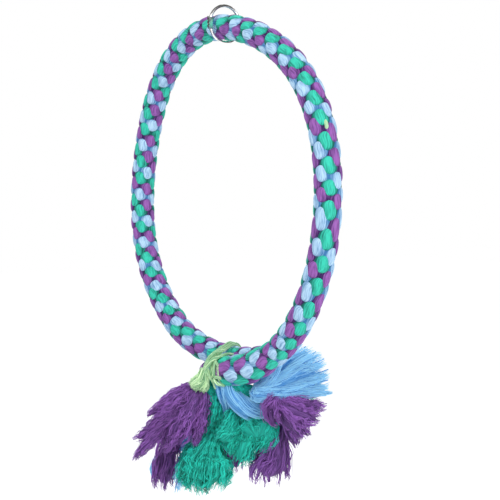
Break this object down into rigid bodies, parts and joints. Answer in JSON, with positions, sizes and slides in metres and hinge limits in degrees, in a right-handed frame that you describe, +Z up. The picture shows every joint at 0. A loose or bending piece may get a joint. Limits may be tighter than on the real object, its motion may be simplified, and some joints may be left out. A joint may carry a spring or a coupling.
{
  "type": "rope swing perch",
  "caption": "Ring of thick plaited rope with frayed tassel ends lashed together at the bottom, hung on a hinged metal hoop.",
  "frame": {"origin": "inside top of the metal hoop, where it rests on the cage's hook", "axes": "+Z up, X across the rope ring in its own plane, +Y from the front rope end to the rear one"},
  "size_m": [0.3458, 0.1733, 0.4924],
  "materials": {
    "hoop_steel": "polished nickel plate",
    "teal_yarn": "soft plaited yarn",
    "blue_yarn": "soft plaited yarn",
    "purple_yarn": "soft plaited yarn",
    "green_cord": "twisted yarn cord"
  },
  "bodies": {
    "hanger": {"hoop_upper_half": "hoop_steel", "hinge_rivet": "hoop_steel"},
    "gate": {"hoop_lower_half": "hoop_steel"},
    "perch": {"core_cord": "green_cord", "strand_blue_1": "blue_yarn", "strand_blue_2": "blue_yarn", "strand_blue_3": "blue_yarn", "strand_teal_1": "teal_yarn", "strand_teal_2": "teal_yarn", "strand_teal_3": "teal_yarn", "strand_purple_1": "purple_yarn", "strand_purple_2": "purple_yarn", "strand_purple_3": "purple_yarn", "front_tail_blue_1": "blue_yarn", "front_tail_blue_2": "blue_yarn", "front_tail_blue_3": "blue_yarn", "front_tail_teal_1": "teal_yarn", "front_tail_teal_2": "teal_yarn", "front_tail_teal_3": "teal_yarn", "front_tail_purple_1": "purple_yarn", "front_tail_purple_2": "purple_yarn", "front_tail_purple_3": "purple_yarn", "rear_tail_blue_1": "blue_yarn", "rear_tail_blue_2": "blue_yarn", "rear_tail_blue_3": "blue_yarn", "rear_tail_teal_1": "teal_yarn", "rear_tail_teal_2": "teal_yarn", "rear_tail_teal_3": "teal_yarn", "rear_tail_purple_1": "purple_yarn", "rear_tail_purple_2": "purple_yarn", "rear_tail_purple_3": "purple_yarn", "lashing_cord": "green_cord", "lashing_tail": "green_cord"}
  },
  "joints": [
    {"name": "gate_hinge", "type": "hinge", "parent": "hanger", "child": "gate", "pos_m": [0, 0.0182, -0.0167], "axis": [1, 0, 0], "range_deg": [0, 75]},
    {"name": "perch_swing", "type": "hinge", "parent": "hanger", "child": "perch", "pos_m": [0, 0, -0.0349], "axis": [0, 1, 0], "range_deg": [-30, 30]}
  ]
}
